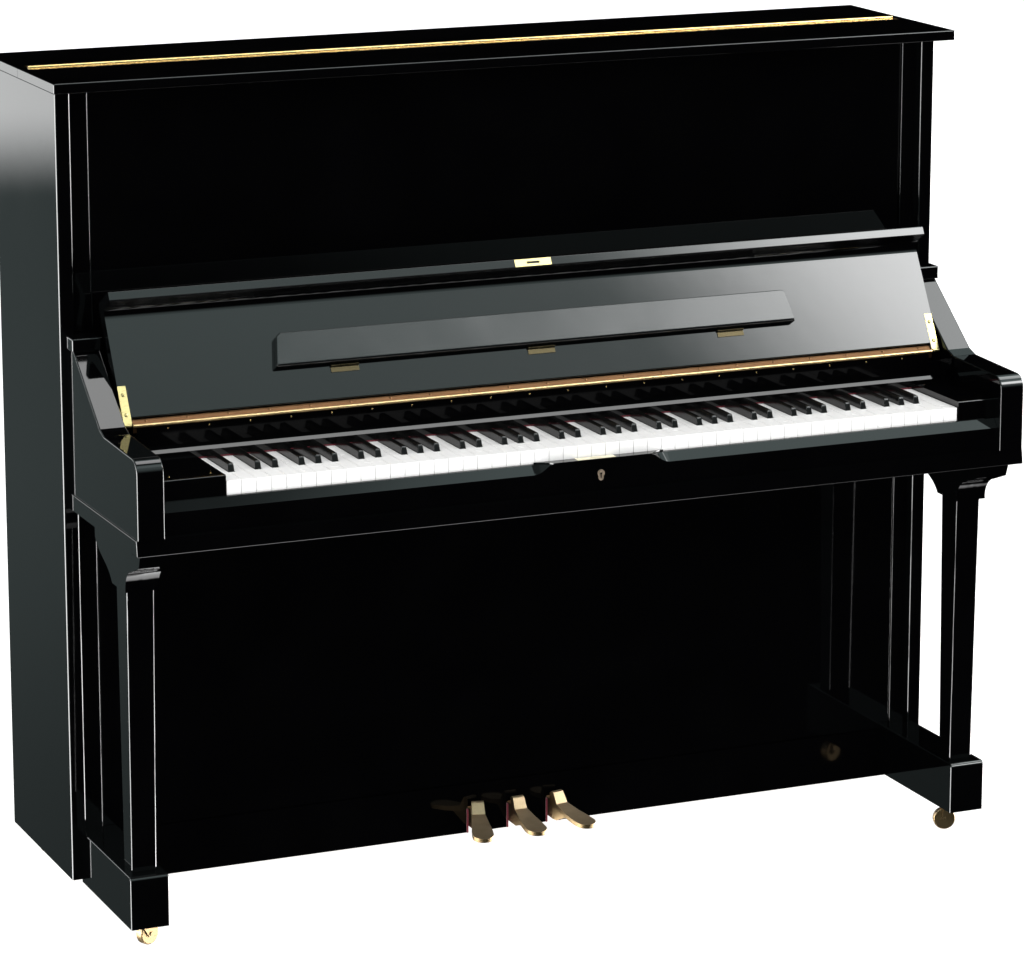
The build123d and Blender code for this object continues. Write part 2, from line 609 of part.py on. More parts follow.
def pedal(x, flare):
    """Brass pedal: an upright web through the notch, a raised neck and a widening tread."""
    lever = block(-LEVER_HALF, LEVER_HALF, 30, PEDAL_AXIS_Y + 8, 56, 73)
    lever = lever + block(-LEVER_HALF, LEVER_HALF, -2, 40, 42, 73)
    rib = polygon((4, 42), (4, 72), (-14, 66), (-40, 58), (-12, 44), (-8, 42))
    web = prism_x(rib, -LEVER_HALF, LEVER_HALF)
    side = Spline((-NECK_HALF, -4), (-NECK_HALF - 1.2, -15), (-TREAD_HALF + 1, -54), (-TREAD_HALF, -77))
    toe = ThreePointArc((-TREAD_HALF, -77), (0, -94), (TREAD_HALF, -77))
    back = Spline((TREAD_HALF, -77), (TREAD_HALF - 1, -54), (NECK_HALF + 1.2, -15), (NECK_HALF, -4))
    heel = Polyline((NECK_HALF, -4), (NECK_HALF, 7), (-NECK_HALF, 7), (-NECK_HALF, -4))
    column = extrude(Pos(0, 0, 40) * make_face([side, toe, back, heel]), amount=52)
    outline = polygon((6, 66), (6, 87), (2, 90), (-4, 89), (-14, 72), (-40, 65), (-70, 60), (-98, 56.6),
                      (-98, 50), (-70, 53), (-40, 57.5), (-18, 62))
    profile = prism_x(outline, -TREAD_HALF - 2, TREAD_HALF + 2)
    plate = column & profile
    plate = fillet(edges_along(plate, Axis.X, lambda c: c.Z > 86), 1.6)
    front = Rot(0, 0, flare) * (plate + web)
    bore = pin_x(-40, 40, PEDAL_AXIS_Y, PEDAL_AXIS_Z, 4.06)
    return Pos(x, 0, 0) * (lever + front - bore)


def pedal_bracket(x):
    """Fork under the case floor with the pedal's pin."""
    outer = LEVER_HALF + 5.0
    top = block(x - outer, x + outer, PEDAL_AXIS_Y - 14, PEDAL_AXIS_Y + 14, 87, 91.8)
    for side in (-1, 1):
        x0, x1 = sorted((x + side * (LEVER_HALF + 0.8), x + side * outer))
        top = top + block(x0, x1, PEDAL_AXIS_Y - 10, PEDAL_AXIS_Y + 10, PEDAL_AXIS_Z - 8, 88)
    return top + pin_x(x - outer, x + outer, PEDAL_AXIS_Y, PEDAL_AXIS_Z, 4.0)


def notch_felts():
    """Felt strips on both sides of each pedal notch."""
    strips = []
    for x, _ in PEDALS.values():
        for side in (-1, 1):
            x0, x1 = sorted((x + side * (NOTCH_HALF - 0.1), x + side * (NOTCH_HALF - FELT_T)))
            low, high = RAIL_BOTTOM + 0.5, NOTCH_TOP - 4.2
            strips.append(block(x0, x1, RAIL_FRONT - 1.5, RAIL_FRONT + 20, low, high))
    return strips


# ---------------------------------------------------------------- inside and back

def back_frame():
    """Beams and five posts, and the pin block above the soundboard."""
    top = block(-726.8, 726.8, 250, 318, 1190, LID_BOTTOM - 1)
    low = block(-726.8, 726.8, 250, 318, TOE_BOTTOM, 150)
    frame = top + low
    for x in (-640, -320, 0, 320, 640):
        frame = frame + block(x - 40, x + 40, 250, 318, 149, 1191)
    for side in (-1, 1):
        frame = frame - Pos(side * 690, 288, TOE_BOTTOM) * Cylinder(6.0, 44)
    return frame, block(-690, 690, 202.2, 249.8, 1030, 1185)


def soundboard():
    """Thin panel with six ribs glued behind it."""
    sheet = block(-700, 700, 214, 222, 160, 1028)
    for index in range(6):
        z = 230 + index * 140
        sheet = sheet + block(-660, 660, 222, 240, z, z + 26)
    return sheet


def iron_plate():
    """Cast plate with windows between its bars."""
    plate = block(-690, 690, 190, 202, 150, 1190)
    for index in range(8):
        x = -654 + index * 166.5
        plate = plate - block(x, x + 140, 180, 210, 330, 1000)
    return plate


def strings():
    """One string and one tuning pin for each note."""
    pieces = []
    for index in range(88):
        x = -640 + index * 1280 / 87
        radius = 1.6 - 1.1 * min(index / 40, 1)
        pieces.append(Pos(x, 183, 650) * Cylinder(radius, 900))
        pin_z = 1112 + 20 * (index % 3)
        pieces.append(Pos(x, 181, pin_z) * Rot(90, 0, 0) * Cylinder(3.2, 17.6))
    return pieces


def main():
    os.makedirs("parts", exist_ok=True)

    right_side = side_board()
    save("case_side_right", right_side)
    save("case_side_left", mirrored(right_side))
    right_stile = stile()
    save("case_stiles", *right_stile, *[mirrored(part) for part in right_stile])
    save("upper_panel", panel(UPPER_PANEL_Y, 812, LID_BOTTOM - 1))
    save("lower_panel", panel(LOWER_PANEL_Y, RAIL_TOP + 1, KEYBED_BOTTOM - 0.4))
    save("bottom_rail", bottom_rail())
    save("bottom_board", bottom_board())
    save("lid_front", lid(LID_FRONT, LID_JOINT - 0.4, LID_FRONT))
    save("lid_rear", lid(LID_JOINT + 0.4, BACK_Y, BACK_Y))
    save("lid_hinge_moving", lid_hinge(-1))
    save("lid_hinge_fixed", lid_hinge(1))

    right_arm = arm()
    save("arm_right", right_arm)
    save("arm_left", mirrored(right_arm))
    save("arm_caps", arm_cap(), mirrored(arm_cap()))
    save("keybed", keybed())
    save("keybed_moulding", keybed_moulding())
    save("key_slip", key_slip())
    cheek = ARM_INNER - 0.3
    save("key_blocks", key_block(-cheek, LEFT_END - 1.2), key_block(RIGHT_END + 1.2, cheek))
    save("slip_lock", *slip_lock())

    save("fallboard", fallboard())
    save("fallboard_lip", fallboard_lip())
    save("fallboard_hinge_moving", fallboard_hinge_moving())
    save("fallboard_hinge_fixed", fallboard_hinge_fixed())
    save("fallboard_fittings", *fallboard_fittings())
    save("music_desk", music_desk())
    save("desk_hinge_moving", *desk_hinge_moving())
    save("nameboard", nameboard())

    for note, solids in keyboard().items():
        save(f"keys_{note}", *solids)
    save("key_frame", *key_frame())

    save("legs", leg(), mirrored(leg()))
    save("toe_blocks", toe_block(), mirrored(toe_block()))
    save("caster_plates", *[caster_plate(x, y) for x, y, _ in CASTERS.values()])
    for place, (x, y, heading) in CASTERS.items():
        save(f"caster_fork_{place}", caster_fork(x, y, heading))
        save(f"caster_wheel_{place}", caster_wheel(x, y, heading))

    for place, (x, flare) in PEDALS.items():
        save(f"pedal_{place}", pedal(x, flare))
    save("pedal_brackets", *[pedal_bracket(x) for x, _ in PEDALS.values()])
    save("felts", nameboard_felt(), *notch_felts())

    save("back_frame", *back_frame())
    save("soundboard", soundboard())
    save("iron_plate", iron_plate())
    save("strings", *strings())


main()
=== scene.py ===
"""Studio view of an upright piano: camera, soft light, the finish of every part and the small fittings."""
import json
import math

import bmesh
import bpy
from mathutils import Matrix, Vector


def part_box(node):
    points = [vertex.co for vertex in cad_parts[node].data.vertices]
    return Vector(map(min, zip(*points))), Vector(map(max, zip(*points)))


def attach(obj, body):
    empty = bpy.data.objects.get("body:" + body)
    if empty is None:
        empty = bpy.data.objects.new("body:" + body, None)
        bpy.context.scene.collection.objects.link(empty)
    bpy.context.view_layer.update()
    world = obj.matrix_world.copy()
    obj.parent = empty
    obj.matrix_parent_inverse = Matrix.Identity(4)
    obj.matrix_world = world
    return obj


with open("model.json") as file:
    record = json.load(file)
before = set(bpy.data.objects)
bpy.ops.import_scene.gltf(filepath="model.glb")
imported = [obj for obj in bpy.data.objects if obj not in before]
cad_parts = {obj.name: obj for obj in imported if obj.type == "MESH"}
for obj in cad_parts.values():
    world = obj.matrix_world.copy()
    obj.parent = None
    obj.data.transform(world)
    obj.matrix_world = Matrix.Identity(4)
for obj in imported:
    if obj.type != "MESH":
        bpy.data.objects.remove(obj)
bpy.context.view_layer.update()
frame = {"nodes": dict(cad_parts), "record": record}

# The camera's place in metres, its angles in degrees, its lens and sensor in millimetres.
CAMERA_PLACE = (-2.562, -5.895, 2.195)
CAMERA_TURN = -23.437
CAMERA_PITCH = 12.339
CAMERA_LENS = 145.3
CAMERA_SENSOR = 36
CAMERA_SHIFT = -0.1
CAMERA_REACH = 200

# Half the floor's width, in metres.
FLOOR_HALF = 40.0

# Soft lights seen in the gloss: azimuth, elevation, half width, half height and soft edge in
# degrees, then power.
SOFTBOXES = (
    (56, 39, 13.4, 7, 4.2, 14.0),
    (50, 40, 8, 8, 12, 0.8),
    (105, 68, 11, 11, 4, 4.6),
    (-163, 1, 20, 9.5, 1.3, 1.9),
    (-100, -8, 30, 14, 4, 18.0),
    (95, -10, 32, 12, 4, 24.0),
)

# What the gloss mirrors besides them: the colour of the ceiling and wall, how much higher the ceiling
# starts behind the case, and where a glow starts, where it ends and its value at each.
ROOM_TINT = (0.80, 1.0, 0.99)
CEILING_RISE = (0.0, 1.0, 0.0, 0.45)
CEILING_LOWER = (0.16, 0.62, 0.0, 1.0)
CEILING_UPPER = (0.62, 0.76, 0.0, 0.5)
CEILING_TOP = (0.86, 0.89, 1.0, 0.15)
WALL_SIDE = (0.0, -0.2, 0.0, 1.0)
WALL_GLOW = (-0.33, -0.22, 0.09, 0.17)
FLOOR_GLOW = (-0.84, -0.92, 0.0, 4.0)

# The even dome that lights everything else, in the same form.
DOME_GLOW = (-0.2, 0.9, 1.15, 1.65)
WHITE = (1, 1, 1, 1)

# Most noise lies between these two values.
NOISE_SPREAD = (0.3, 0.7)

# How closely the polishing grain of metal repeats along x, y and z.
BRUSHED = (40, 900, 900)

# Darkest and lightest tone of the black lacquer, and its refractive index.
BLACK_TONES = ((0.0004, 0.0004, 0.0005), (0.0012, 0.0012, 0.0014))
LACQUER_IOR = 1.52

# Heights in metres where a node's finish changes, and how softly the nameboard's does.
NAMEBOARD_FOOT_TOP = 0.763
FOOT_BLUR = 0.001
LOCK_PLATE_UNDER = 0.712
LOCK_PLATE_OVER = 0.716

# Brass with a painted dark tone set by a hinge line: softness of the edge as a share of its reach,
# then reach from the hinge line and half length along it in metres.
TONE_EDGE = 0.08
KNUCKLE_REACH = 0.0031
KNUCKLE_HALF = 0.75
DESK_HINGE_REACH = 0.016
DESK_HINGE_HALF = 0.5

# Fallboard hinge: how far the open board leans back, and how far its leaf is let in, in degrees.
FALL_LEAN = 29.0
LEAF_TILT = 17.0

# Screw heads, in metres. The slot and the dome (reach, height) are shares of a head's radius.
SCREW_COUNT = 21
SCREW_PITCH = 0.066
SCREW_SLOT = 0.13
SCREW_DOME = ((1.0, 0.0), (1.0, 0.16), (0.82, 0.32), (0.45, 0.42))
SCREW_STEPS = 9
LEAF_SCREW_R = 0.0021
LEAF_SCREW_ALONG = 0.0082
LEAF_SCREW_OUT = -0.0002
NAMEBOARD_SCREW_R = 0.0014
NAMEBOARD_SCREW_DROP = 0.0042
STRAP_SCREW_R = 0.0030
STRAP_SCREW_INSET = 0.0065
STRAP_SCREW_ALONG = (0.018, 0.050)
STRAP_SCREW_OUT = 0.0004

# Hammers, in metres. A head is an outline of (y, z) points round its striking tip. In the others
# y is from the tip and z from the floor. The last head is smaller than the first by the shrink.
NOTES = 88
HAMMER_HEAD = ((0.000, 0.0), (-0.004, 0.009), (-0.016, 0.012), (-0.030, 0.008),
               (-0.036, 0.0), (-0.030, -0.008), (-0.016, -0.012), (-0.004, -0.009))
HAMMER_HALF = 0.0048
HAMMER_GAP = 0.020
TREBLE_SHRINK = 0.25
STRIKE_HEIGHT = 1.000
SHANK = ((-0.017, 0.992), (-0.034, 0.880))
SHANK_R = 0.0026
BUTT = ((-0.046, 0.850), (-0.024, 0.850), (-0.028, 0.884), (-0.040, 0.884))
BUTT_HALF = 0.0042
OUTER_NOTE_INSET = 0.004

# Dampers, in metres: y is from the strings and z from the floor.
DAMPED_NOTES = 66
DAMPER = ((-0.004, 0.925), (-0.004, 0.950), (-0.013, 0.946), (-0.013, 0.929))
DAMPER_HALF = 0.0046
WIRE = ((-0.011, 0.930), (-0.030, 0.842))
WIRE_R = 0.0009

# Rails of the action, in metres: y, z, depth and height, and how far they pass the outer strings.
ACTION_RAILS = ((0.098, 0.838, 0.046, 0.018), (0.092, 0.955, 0.014, 0.030))
RAIL_OVERHANG = 0.02


# ---------------------------------------------------------------- node helpers

class Nodes:
    """Short calls for adding nodes to one material or world."""

    def __init__(self, tree):
        self.tree = tree
        tree.nodes.clear()

    def add(self, kind, settings=None, **inputs):
        """A node with its settings, and its inputs set from values or linked from sockets."""
        node = self.tree.nodes.new(kind)
        for key, value in (settings or {}).items():
            setattr(node, key, value)
        for key, value in inputs.items():
            self.put(node.inputs[key.replace("_", " ")], value)
        return node

    def put(self, socket, value):
        """Sets a socket's value, or links another socket to it."""
        if isinstance(value, bpy.types.NodeSocket):
            self.tree.links.new(value, socket)
        else:
            socket.default_value = value

    def math(self, operation, *values):
        """The result of a math node."""
        node = self.tree.nodes.new("ShaderNodeMath")
        node.operation = operation
        for socket, value in zip(node.inputs, values):
            self.put(socket, value)
        return node.outputs[0]

    def remap(self, value, low, high, to_low=0.0, to_high=1.0, smooth=False):
        """A value carried from one range to another and held inside it."""
        node = self.tree.nodes.new("ShaderNodeMapRange")
        node.interpolation_type = "SMOOTHSTEP" if smooth else "LINEAR"
        names = ("Value", "From Min", "From Max", "To Min", "To Max")
        for key, item in zip(names, (value, low, high, to_low, to_high)):
            self.put(node.inputs[key], item)
        return node.outputs["Result"]

    def dot(self, vector, axis):
        """The dot product of two vectors."""
        node = self.tree.nodes.new("ShaderNodeVectorMath")
        node.operation = "DOT_PRODUCT"
        self.put(node.inputs[0], vector)
        self.put(node.inputs[1], axis)
        return node.outputs["Value"]

    def mix(self, factor, a, b):
        """A colour between a and b, each three numbers or a socket."""
        node = self.tree.nodes.new("ShaderNodeMix")
        node.data_type = "RGBA"
        self.put(node.inputs["Factor"], factor)
        colours = [item for item in node.inputs if item.type == "RGBA"]
        for socket, value in zip(colours, (a, b)):
            self.put(socket, (*value, 1) if isinstance(value, tuple) else value)
        return next(item for item in node.outputs if item.type == "RGBA")

    def join(self, kind, first, second, **inputs):
        """A node that joins two shaders through its last two inputs."""
        node = self.add(kind, **inputs)
        for socket, shader in zip(node.inputs[-2:], (first, second)):
            self.tree.links.new(shader.outputs[0], socket)
        return node


def noise(n, vector, scale, detail):
    """A noise texture's value."""
    return n.add("ShaderNodeTexNoise", Vector=vector, Scale=scale, Detail=detail).outputs["Fac"]


def spread(n, value, low, high):
    """Noise carried to the range from low to high."""
    return n.remap(value, *NOISE_SPREAD, low, high)


def object_parts(n):
    """The object coordinates X, Y and Z."""
    place = n.add("ShaderNodeTexCoord").outputs["Object"]
    return n.add("ShaderNodeSeparateXYZ", Vector=place).outputs


def stretched(n, x=1, y=1, z=1):
    """Object coordinates scaled along each axis, for grain and brushing."""
    place = n.add("ShaderNodeTexCoord").outputs["Object"]
    return n.add("ShaderNodeMapping", Vector=place, Scale=(x, y, z)).outputs["Vector"]


def start(name):
    """An empty material, its nodes, a principled shader already joined to the output."""
    material = bpy.data.materials.new(name)
    material.use_nodes = True
    n = Nodes(material.node_tree)
    shader = n.add("ShaderNodeBsdfPrincipled")
    n.add("ShaderNodeOutputMaterial", Surface=shader.outputs[0])
    return material, n, shader


def colour(n, shader, factor, dark, light):
    """Base colour between two tones."""
    n.put(shader.inputs["Base Color"], n.mix(factor, dark, light))


def bump(n, shader, height, strength, distance):
    """Relief from a height value."""
    node = n.add("ShaderNodeBump", Strength=strength, Distance=distance, Height=height)
    n.put(shader.inputs["Normal"], node.outputs["Normal"])


def joint_place(name):
    """Where a joint sits, from the record."""
    for joint in frame["record"]["behaviour"]["joints"]:
        if joint["name"] == name:
            return Vector(joint["pos_m"])


# ---------------------------------------------------------------- finishes

def black_gloss(n, shader, rough, mirror):
    """Black with a polishing haze. rough = (low, high), and mirror is how much it reflects."""
    haze = noise(n, stretched(n), scale=9.0, detail=3.0)
    colour(n, shader, haze, *BLACK_TONES)
    n.put(shader.inputs["Roughness"], spread(n, haze, *rough))
    n.put(shader.inputs["IOR"], LACQUER_IOR)
    n.put(shader.inputs["Specular IOR Level"], mirror)


def lacquer(name="lacquer", rough=(0.025, 0.05), mirror=0.5):
    """Polished black polyester: a mirror with the faintest waviness."""
    material, n, shader = start(name)
    black_gloss(n, shader, rough, mirror)
    wave = noise(n, stretched(n), scale=26.0, detail=1.0)
    bump(n, shader, wave, strength=0.012, distance=0.001)
    return material


def nameboard_lacquer():
    """Lacquer that keeps its gloss on the nameboard's foot and is duller on the face above it."""
    material, n, shader = start("nameboard_lacquer")
    height = object_parts(n)["Z"]
    mirror = n.remap(height, NAMEBOARD_FOOT_TOP - FOOT_BLUR, NAMEBOARD_FOOT_TOP + FOOT_BLUR, 0.42, 0.08)
    black_gloss(n, shader, (0.04, 0.08), mirror)
    return material


def brushed(n, shader, rough, brushing):
    """Bare metal with a polishing grain along x, which it returns. rough = (low, high)."""
    grain = noise(n, stretched(n, *BRUSHED), scale=1.0, detail=2.0)
    n.put(shader.inputs["Metallic"], 1.0)
    n.put(shader.inputs["Roughness"], spread(n, grain, *rough))
    bump(n, shader, grain, strength=brushing, distance=0.0004)
    return grain


def metal(name, dark, light, rough, brushing):
    """Brushed metal with small cloudy changes of tone."""
    material, n, shader = start(name)
    brushed(n, shader, rough, brushing)
    cloud = noise(n, stretched(n), scale=60.0, detail=3.0)
    colour(n, shader, cloud, dark, light)
    return material


def near_line(n, y, z, reach, half):
    """1 beside the line through that y and z, as far as half along x, and 0 further out than reach."""
    part = object_parts(n)
    off_y = n.math("SUBTRACT", part["Y"], y)
    off_z = n.math("SUBTRACT", part["Z"], z)
    squared = n.math("ADD", n.math("MULTIPLY", off_y, off_y), n.math("MULTIPLY", off_z, off_z))
    inner, outer = reach * (1 - TONE_EDGE), reach * (1 + TONE_EDGE)
    beside = n.remap(n.math("SQRT", squared), inner, outer, 1.0, 0.0, smooth=True)
    within = n.math("LESS_THAN", n.math("ABSOLUTE", part["X"]), half)
    return n.math("MULTIPLY", beside, within)


def brass_with_painted_dark_tone(name, line, reach, half, near, far):
    """Brass with one colour beside a hinge line and another further out; the darker one is painted: a
    painted dark reflection on the fallboard leaf, painted shade at the desk hinges.
    """
    material, n, shader = start(name)
    grain = brushed(n, shader, (0.26, 0.36), brushing=0.1)
    tone = n.mix(near_line(n, *line, reach, half), far, near)
    shade = n.math("ADD", n.math("MULTIPLY", grain, 0.3), 0.85)
    scaled = n.add("ShaderNodeVectorMath", {"operation": "SCALE"}, Vector=tone, Scale=shade)
    n.put(shader.inputs["Base Color"], scaled.outputs["Vector"])
    return material


def pedal_brass():
    """Plated brass with painted light: upward faces coloured paler as if lit, and the sides coloured much
    darker as painted shade.
    """
    material, n, shader = start("plated_brass")
    brushed(n, shader, (0.42, 0.54), brushing=0.08)
    cloud = noise(n, stretched(n), scale=60.0, detail=3.0)
    facing = n.add("ShaderNodeNewGeometry").outputs["Normal"]
    upward = n.add("ShaderNodeSeparateXYZ", Vector=facing).outputs["Z"]
    # Painted light and shade: the colour follows how far each face points up, so the tops are pale and the
    # sides dark.
    lit_top = n.mix(cloud, (0.54, 0.40, 0.25), (0.66, 0.51, 0.34))
    shaded_side = n.mix(cloud, (0.17, 0.12, 0.06), (0.24, 0.17, 0.09))
    colour(n, shader, n.remap(upward, 0.1, 0.9), shaded_side, lit_top)
    return material


def lock_brass():
    """Pale plate on top of the slip, and the darker old bronze of the escutcheon below it."""
    material, n, shader = start("lock_brass")
    plate = n.remap(object_parts(n)["Z"], LOCK_PLATE_UNDER, LOCK_PLATE_OVER)
    cloud = noise(n, stretched(n), scale=400.0, detail=3.0)
    bronze = n.mix(cloud, (0.16, 0.12, 0.085), (0.34, 0.27, 0.20))
    colour(n, shader, plate, bronze, (0.84, 0.78, 0.58))
    n.put(shader.inputs["Metallic"], n.remap(plate, 0.0, 1.0, 0.6, 0.15))
    n.put(shader.inputs["Roughness"], spread(n, cloud, 0.38, 0.5))
    bump(n, shader, cloud, strength=0.1, distance=0.0004)
    return material


def ivory():
    """White acrylic key covers with a soft gloss."""
    material, n, shader = start("ivory")
    cloud = noise(n, stretched(n), scale=35.0, detail=2.0)
    colour(n, shader, cloud, (0.92, 0.92, 0.91), (0.95, 0.95, 0.94))
    n.put(shader.inputs["Roughness"], spread(n, cloud, 0.20, 0.28))
    n.put(shader.inputs["Specular IOR Level"], 0.2)
    return material


def ebony():
    """Black sharps with a fine grain along the key."""
    material, n, shader = start("ebony")
    grain = noise(n, stretched(n, 900, 30, 900), scale=1.0, detail=3.0)
    colour(n, shader, grain, (0.002, 0.002, 0.002), (0.006, 0.006, 0.006))
    n.put(shader.inputs["Roughness"], spread(n, grain, 0.12, 0.20))
    bump(n, shader, grain, strength=0.08, distance=0.0003)
    return material


def timber(name, dark, light, along, rough):
    """Wood with growth rings, streaks and pores along the axis of that number."""
    material, n, shader = start(name)
    squeeze = [14.0, 14.0, 14.0]
    squeeze[along] = 0.9
    place = stretched(n, *squeeze)
    bands = {"wave_type": "BANDS", "bands_direction": "DIAGONAL"}
    rings = n.add("ShaderNodeTexWave", bands, Vector=place, Scale=2.4, Distortion=2.2, Detail=4.0)
    pores = noise(n, place, scale=22.0, detail=4.0)
    tone = n.math("ADD", n.math("MULTIPLY", rings.outputs["Fac"], 0.3), n.math("MULTIPLY", pores, 0.7))
    colour(n, shader, tone, dark, light)
    n.put(shader.inputs["Roughness"], spread(n, pores, rough, rough + 0.15))
    bump(n, shader, pores, strength=0.15, distance=0.0006)
    return material


def felt(name, dark, light):
    """Felt with a fuzzy surface."""
    material, n, shader = start(name)
    fuzz = noise(n, stretched(n), scale=900.0, detail=4.0)
    colour(n, shader, fuzz, dark, light)
    n.put(shader.inputs["Roughness"], spread(n, fuzz, 0.85, 1.0))
    n.put(shader.inputs["Sheen Weight"], 0.4)
    bump(n, shader, fuzz, strength=0.5, distance=0.0008)
    return material


def iron():
    """Cast plate sprayed with bronze paint over its casting texture."""
    material, n, shader = start("iron")
    cast = noise(n, stretched(n), scale=260.0, detail=4.0)
    colour(n, shader, cast, (0.42, 0.29, 0.11), (0.62, 0.46, 0.21))
    n.put(shader.inputs["Metallic"], 0.75)
    n.put(shader.inputs["Roughness"], spread(n, cast, 0.34, 0.5))
    bump(n, shader, cast, strength=0.25, distance=0.0008)
    return material


def finishes():
    """One material for each finish named in the record."""
    return {
        "black_lacquer": lacquer(),
        "brass": metal("brass", (0.74, 0.50, 0.20), (0.86, 0.63, 0.30), (0.16, 0.26), brushing=0.05),
        # Pedals and casters carry painted light on their tops and painted shade on their sides.
        "plated_brass": pedal_brass(),
        "ivory": ivory(),
        "ebony": ebony(),
        "spruce": timber("spruce", (0.50, 0.33, 0.17), (0.74, 0.55, 0.34), along=2, rough=0.45),
        "beech": timber("beech", (0.36, 0.22, 0.12), (0.58, 0.40, 0.24), along=0, rough=0.5),
        "felt": felt("felt", (0.08, 0.002, 0.008), (0.22, 0.010, 0.028)),
        "iron": iron(),
        "steel": metal("steel", (0.52, 0.52, 0.54), (0.68, 0.68, 0.70), (0.2, 0.34), brushing=0.08),
    }


def special_finishes():
    """Nodes that are duller, paler or softer than the rest of their kind, and hinge brass with a painted
    dark reflection and painted shade.
    """
    hinge = joint_place("fallboard_hinge")
    desk = joint_place("music_desk_hinge")
    # Painted dark reflection: the leaf's brass is coloured dark away from the knuckle, which keeps brass
    # colour.
    leaf = brass_with_painted_dark_tone("leaf_brass_painted_reflection", (hinge.y, hinge.z), KNUCKLE_REACH, KNUCKLE_HALF,
                    (0.66, 0.47, 0.24), (0.15, 0.075, 0.036))
    # Painted shade: the desk hinges are coloured nearly black within reach of their hinge line, while the
    # end straps keep the paler brass.
    pale = brass_with_painted_dark_tone("brass_painted_desk_hinge_shade", (desk.y, desk.z), DESK_HINGE_REACH, DESK_HINGE_HALF,
                    (0.050, 0.040, 0.022), (0.46, 0.38, 0.175))
    return {
        "fallboard_hinge_moving": leaf,
        "fallboard_hinge_fixed": leaf,
        "desk_hinge_moving": pale,
        "fallboard_fittings": pale,
        "slip_lock": lock_brass(),
        "music_desk": lacquer("soft_lacquer", rough=(0.13, 0.17), mirror=0.6),
        "nameboard": nameboard_lacquer(),
        "bottom_rail": lacquer("rail_lacquer", rough=(0.05, 0.09), mirror=0.12),
    }


def dress(looks, special):
    """Gives every CAD node the finish its own slots name, or its own special one."""
    for name, node in frame["nodes"].items():
        for place in node.material_slots:
            slot = place.material.name.split(".")[0]
            place.material = special.get(name, looks[slot])


# ---------------------------------------------------------------- studio

def direction(azimuth, elevation):
    """A unit vector: azimuth 0 faces the front of the case, 90 is to its right."""
    a, e = math.radians(azimuth), math.radians(elevation)
    return Vector((math.sin(a) * math.cos(e), -math.cos(a) * math.cos(e), math.sin(e)))


def softbox(n, ray, azimuth, elevation, width, height, edge, power):
    """Radiance of a rectangular soft light at that angle. Sizes are half angles in degrees."""
    ahead = direction(azimuth, elevation)
    right = Vector((math.cos(math.radians(azimuth)), math.sin(math.radians(azimuth)), 0))
    above = right.cross(ahead)
    masks = []
    for axis, half in ((right, width), (above, height)):
        inner = math.sin(math.radians(half))
        outer = math.sin(math.radians(half + edge))
        masks.append(n.remap(n.math("ABSOLUTE", n.dot(ray, axis)), inner, outer, 1, 0, smooth=True))
    facing = n.remap(n.dot(ray, ahead), 0.0, 0.1, 0, power, smooth=True)
    return n.math("MULTIPLY", n.math("MULTIPLY", *masks), facing)


def mirrored_room(n, ray):
    """What the gloss sees: a dark room with a ceiling, a left wall, a floor and the soft lights."""
    parts = n.add("ShaderNodeSeparateXYZ", Vector=ray).outputs
    height = n.math("SUBTRACT", parts["Z"], n.remap(parts["Y"], *CEILING_RISE))
    lower = n.remap(height, *CEILING_LOWER, smooth=True)
    upper = n.remap(height, *CEILING_UPPER, smooth=True)
    overhead = n.remap(parts["Z"], *CEILING_TOP, smooth=True)
    ceiling = n.math("MULTIPLY", n.math("ADD", lower, upper), overhead)
    left = n.remap(parts["X"], *WALL_SIDE, smooth=True)
    wall = n.math("MULTIPLY", left, n.remap(parts["Z"], *WALL_GLOW, smooth=True))
    light = n.remap(parts["Z"], *FLOOR_GLOW, smooth=True)
    for box in SOFTBOXES:
        light = n.math("ADD", light, softbox(n, ray, *box))
    tinted = n.add("ShaderNodeBackground", Color=(*ROOM_TINT, 1), Strength=n.math("ADD", ceiling, wall))
    plain = n.add("ShaderNodeBackground", Color=WHITE, Strength=light)
    return n.join("ShaderNodeAddShader", tinted, plain)


def studio_world():
    """A bright even dome for the diffuse light, a darker room for the gloss, and plain white behind."""
    world = bpy.data.worlds.new("studio")
    bpy.context.scene.world = world
    world.use_nodes = True
    n = Nodes(world.node_tree)
    ray = n.add("ShaderNodeTexCoord").outputs["Generated"]
    height = n.add("ShaderNodeSeparateXYZ", Vector=ray).outputs["Z"]
    glow = n.remap(height, *DOME_GLOW)
    dome = n.add("ShaderNodeBackground", Color=WHITE, Strength=glow)
    white = n.add("ShaderNodeBackground", Color=WHITE, Strength=1.0)
    path = n.add("ShaderNodeLightPath").outputs
    lighting = n.join("ShaderNodeMixShader", dome, mirrored_room(n, ray), Fac=path["Is Glossy Ray"])
    whole = n.join("ShaderNodeMixShader", lighting, white, Fac=path["Is Camera Ray"])
    n.add("ShaderNodeOutputWorld", Surface=whole.outputs[0])


def studio_floor():
    """A wide white floor that glows a little, so shadows stay faint, and that the gloss doesn't mirror."""
    mesh = bpy.data.meshes.new("floor")
    shape = bmesh.new()
    bmesh.ops.create_grid(shape, x_segments=8, y_segments=8, size=FLOOR_HALF)
    shape.to_mesh(mesh)
    shape.free()
    floor = bpy.data.objects.new("floor", mesh)
    bpy.context.scene.collection.objects.link(floor)
    material, n, shader = start("floor")
    cloud = noise(n, stretched(n), scale=3.0, detail=3.0)
    colour(n, shader, cloud, (0.28, 0.28, 0.28), (0.31, 0.31, 0.31))
    n.put(shader.inputs["Roughness"], 0.9)
    n.put(shader.inputs["Specular IOR Level"], 0.0)
    n.put(shader.inputs["Emission Color"], WHITE)
    n.put(shader.inputs["Emission Strength"], 1.0)
    mesh.materials.append(material)
    floor.visible_glossy = False


